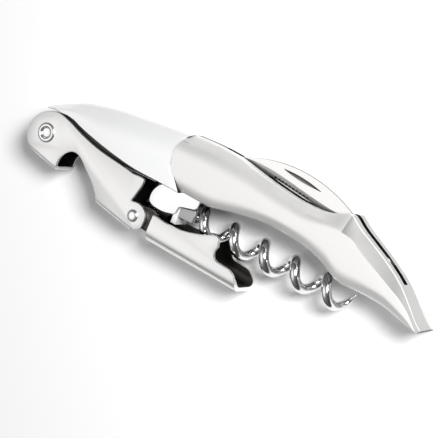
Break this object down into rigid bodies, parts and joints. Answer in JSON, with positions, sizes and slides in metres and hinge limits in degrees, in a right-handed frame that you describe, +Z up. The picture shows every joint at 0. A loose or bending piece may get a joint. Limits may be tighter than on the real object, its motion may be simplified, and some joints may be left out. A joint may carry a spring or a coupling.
{
  "type": "lever corkscrew",
  "caption": "Folding two-step lever corkscrew in satin steel with a hinged lever and claw, a swing-out worm, a cap lifter and a foil knife in the back of its curved grip.",
  "frame": {"origin": "middle of the folded corkscrew's outline, on the surface it lies on", "axes": "+X along the handle from the lever hinge at the head to the tail, +Y towards the back of the handle where the knife folds, +Z up, square to the side face the corkscrew lies on"},
  "size_m": [0.1271, 0.0357, 0.012],
  "materials": {
    "satin_casting": "fine satin, almost white",
    "brushed_casting": "brushed along the length",
    "polished_steel": "polished",
    "lever_steel": "satin sheet with bright cut edges",
    "rivet_steel": "bright satin",
    "blade_steel": "polished with a grey ground bevel",
    "chromed_wire": "mirror chrome",
    "spring_steel": "dark satin",
    "brass": "plain"
  },
  "bodies": {
    "handle": {"bolster": "satin_casting", "grip_shell": "brushed_casting", "liner_near": "polished_steel", "liner_far": "polished_steel", "liner_rivets": "polished_steel", "tail_block": "polished_steel", "knife_spring": "spring_steel", "knife_pin": "polished_steel", "knife_spacers": "brass", "worm_pin": "polished_steel", "worm_washers": "polished_steel"},
    "upper": {"upper_lever": "lever_steel", "hinge_rivet": "rivet_steel", "hinge_washers": "brass", "joint_rivet": "rivet_steel", "joint_bush": "brass", "joint_spring": "spring_steel"},
    "lower": {"lower_lever": "lever_steel"},
    "screw": {"worm": "chromed_wire", "worm_hub": "chromed_wire", "worm_collar": "polished_steel"},
    "knife": {"knife_blade": "blade_steel"}
  },
  "joints": [
    {"name": "upper_lever_hinge", "type": "hinge", "parent": "handle", "child": "upper", "pos_m": [-0.0569, -0.0049, 0.006], "axis": [0, 0, -1], "range_deg": [0, 130]},
    {"name": "lower_lever_hinge", "type": "hinge", "parent": "upper", "child": "lower", "pos_m": [-0.0217, -0.0134, 0.006], "axis": [0, 0, -1], "range_deg": [0, 100]},
    {"name": "worm_hinge", "type": "hinge", "parent": "handle", "child": "screw", "pos_m": [-0.0152, -0.0068, 0.006], "axis": [0, 0, -1], "range_deg": [0, 91]},
    {"name": "knife_hinge", "type": "hinge", "parent": "handle", "child": "knife", "pos_m": [0.0464, 0.0062, 0.006], "axis": [0, 0, -1], "range_deg": [0, 165]}
  ],
  "couplings": [
    {"joint": "worm_hinge", "follows": "upper_lever_hinge", "ratio": 0.7}
  ]
}
